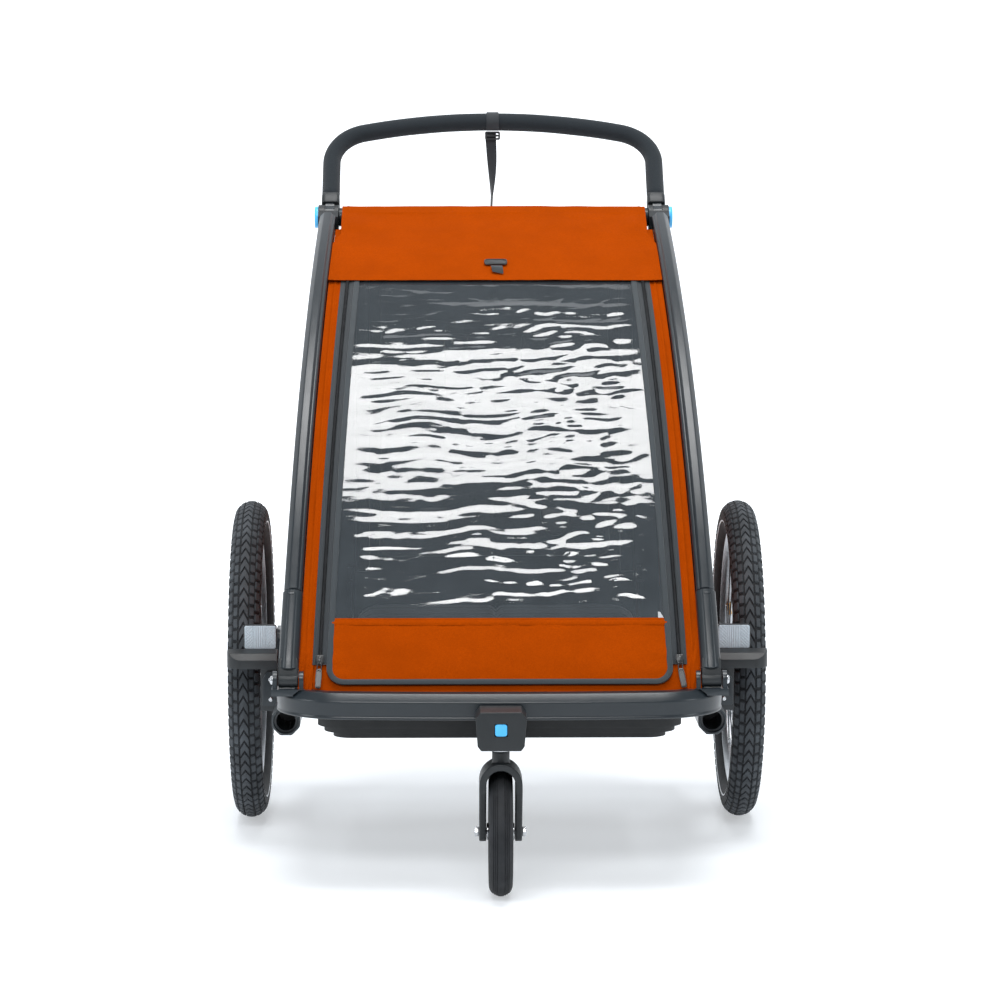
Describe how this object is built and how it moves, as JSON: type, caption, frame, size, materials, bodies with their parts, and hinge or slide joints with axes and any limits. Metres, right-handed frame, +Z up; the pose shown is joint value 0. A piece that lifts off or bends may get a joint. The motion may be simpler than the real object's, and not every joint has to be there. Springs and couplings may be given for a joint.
{
  "type": "child bicycle trailer",
  "caption": "Folding child bicycle trailer in stroller setup, with a fabric cabin, two spoked rear wheels, a swivelling front wheel and a push handle.",
  "frame": {"origin": "centre of the ground rectangle that the trailer covers", "axes": "+X across the trailer, +Y to the rear where the handle is, +Z up"},
  "size_m": [0.8238, 1.0443, 1.1135],
  "materials": {
    "frame": "satin dark graphite coating",
    "moulding": "fine-grained moulded plastic",
    "canvas": "woven polyester, orange",
    "lining": "woven polyester, black",
    "window": "clear film, lightly creased",
    "zip": "zip tape",
    "slider": "black",
    "foam": "closed-cell foam grip",
    "button": "light blue",
    "steel": "zinc plated",
    "rim": "silver anodised",
    "spoke": "stainless",
    "hub": "black",
    "tyre": "block tread with a reflective line",
    "reflector": "prismatic reflector",
    "webbing": "webbing"
  },
  "bodies": {
    "base": {"front_bumper": "frame", "side_rail_left": "frame", "side_rail_right": "frame", "rear_cross_tube": "frame", "axle_beam": "frame", "floor_tub": "moulding", "boot_floor": "lining", "seat_cushion": "lining", "hinge_pins": "steel", "wheel_guard_left": "moulding", "wheel_guard_right": "moulding", "reflector_left": "reflector", "reflector_right": "reflector", "guard_screws": "steel", "caster_mount": "moulding", "stub_axle_left": "steel", "stub_axle_right": "steel", "side_panel_left": "canvas", "side_panel_right": "canvas", "rear_panel": "lining"},
    "front_frame": {"pillar_left": "frame", "pillar_right": "frame", "pillar_sleeve_left": "moulding", "pillar_sleeve_right": "moulding", "top_tube": "frame", "handle_joint_left": "moulding", "handle_joint_right": "moulding", "hood": "canvas", "front_window": "window", "lower_flap": "canvas", "cover_gussets": "canvas", "zip_tape_left": "zip", "zip_tape_right": "zip"},
    "rear_hoop": {"rear_hoop": "frame", "seat_back": "lining", "harness": "webbing"},
    "handle": {"handle_tube": "frame", "foam_grip": "foam", "wrist_strap": "webbing"},
    "button_left": {"handle_button_left": "button"},
    "button_right": {"handle_button_right": "button"},
    "mount_button": {"caster_button": "button"},
    "swivel": {"caster_stem": "steel", "caster_fork": "frame", "caster_axle": "steel"},
    "front_wheel": {"caster_hub": "moulding", "caster_tyre": "tyre"},
    "wheel_left": {"rear_tyre_left": "tyre", "rear_rim_left": "rim", "rear_spokes_left": "spoke", "rear_hub_left": "hub"},
    "wheel_right": {"rear_tyre_right": "tyre", "rear_rim_right": "rim", "rear_spokes_right": "spoke", "rear_hub_right": "hub"},
    "slider_left": {"zip_slider_left": "slider"},
    "slider_right": {"zip_slider_right": "slider"},
    "pedal": {"brake_pedal": "moulding"},
    "pin_left": {"brake_pin_left": "steel"},
    "pin_right": {"brake_pin_right": "steel"}
  },
  "joints": [
    {"name": "fold", "type": "hinge", "parent": "base", "child": "front_frame", "pos_m": [0, -0.36817, 0.3], "axis": [1, 0, 0], "range_deg": [-38, 0], "deforming": ["side_panel_left", "side_panel_right", "rear_panel", "seat_cushion"]},
    {"name": "hoop_fold", "type": "hinge", "parent": "front_frame", "child": "rear_hoop", "pos_m": [0, 0.28683, 0.885], "axis": [1, 0, 0], "range_deg": [-38, 0]},
    {"name": "handle_tilt", "type": "hinge", "parent": "front_frame", "child": "handle", "pos_m": [0, 0.35683, 0.943], "axis": [1, 0, 0], "range_deg": [-60, 45]},
    {"name": "handle_button_left_press", "type": "slide", "parent": "front_frame", "child": "button_left", "axis": [1, 0, 0], "range_m": [0, 0.0035], "stiffness_N_per_m": 400},
    {"name": "handle_button_right_press", "type": "slide", "parent": "front_frame", "child": "button_right", "axis": [-1, 0, 0], "range_m": [0, 0.0035], "stiffness_N_per_m": 400},
    {"name": "mount_button_press", "type": "slide", "parent": "base", "child": "mount_button", "axis": [0, 1, 0], "range_m": [0, 0.003], "stiffness_N_per_m": 400},
    {"name": "swivel_turn", "type": "hinge", "parent": "base", "child": "swivel", "pos_m": [0, -0.45817, 0.21], "axis": [0, 0, 1], "continuous": true},
    {"name": "front_wheel_spin", "type": "hinge", "parent": "swivel", "child": "front_wheel", "pos_m": [0, -0.43017, 0.092], "axis": [1, 0, 0], "continuous": true},
    {"name": "wheel_left_spin", "type": "hinge", "parent": "base", "child": "wheel_left", "pos_m": [-0.385, 0.17183, 0.25], "axis": [1, 0, 0], "continuous": true},
    {"name": "wheel_right_spin", "type": "hinge", "parent": "base", "child": "wheel_right", "pos_m": [0.385, 0.17183, 0.25], "axis": [1, 0, 0], "continuous": true},
    {"name": "zip_left_slide", "type": "hinge", "parent": "front_frame", "child": "slider_left", "pos_m": [-0.28451, 0.8674, -0.34734], "axis": [0.9993, -0.0285, -0.0259], "range_deg": [-28, 0]},
    {"name": "zip_right_slide", "type": "hinge", "parent": "front_frame", "child": "slider_right", "pos_m": [0.28451, 0.8674, -0.34734], "axis": [0.9993, 0.0285, 0.0259], "range_deg": [-28, 0]},
    {"name": "brake_press", "type": "hinge", "parent": "base", "child": "pedal", "pos_m": [0.173, 0.41983, 0.238], "axis": [1, 0, 0], "range_deg": [-20, 0]},
    {"name": "brake_pin_left_slide", "type": "slide", "parent": "base", "child": "pin_left", "axis": [-1, 0, 0], "range_m": [0, 0.0101]},
    {"name": "brake_pin_right_slide", "type": "slide", "parent": "base", "child": "pin_right", "axis": [1, 0, 0], "range_m": [0, 0.0101]}
  ],
  "couplings": [
    {"joint": "hoop_fold", "follows": "fold", "ratio": 1},
    {"joint": "brake_pin_left_slide", "follows": "brake_press", "m_per_rad": -0.028648},
    {"joint": "brake_pin_right_slide", "follows": "brake_press", "m_per_rad": -0.028648}
  ]
}
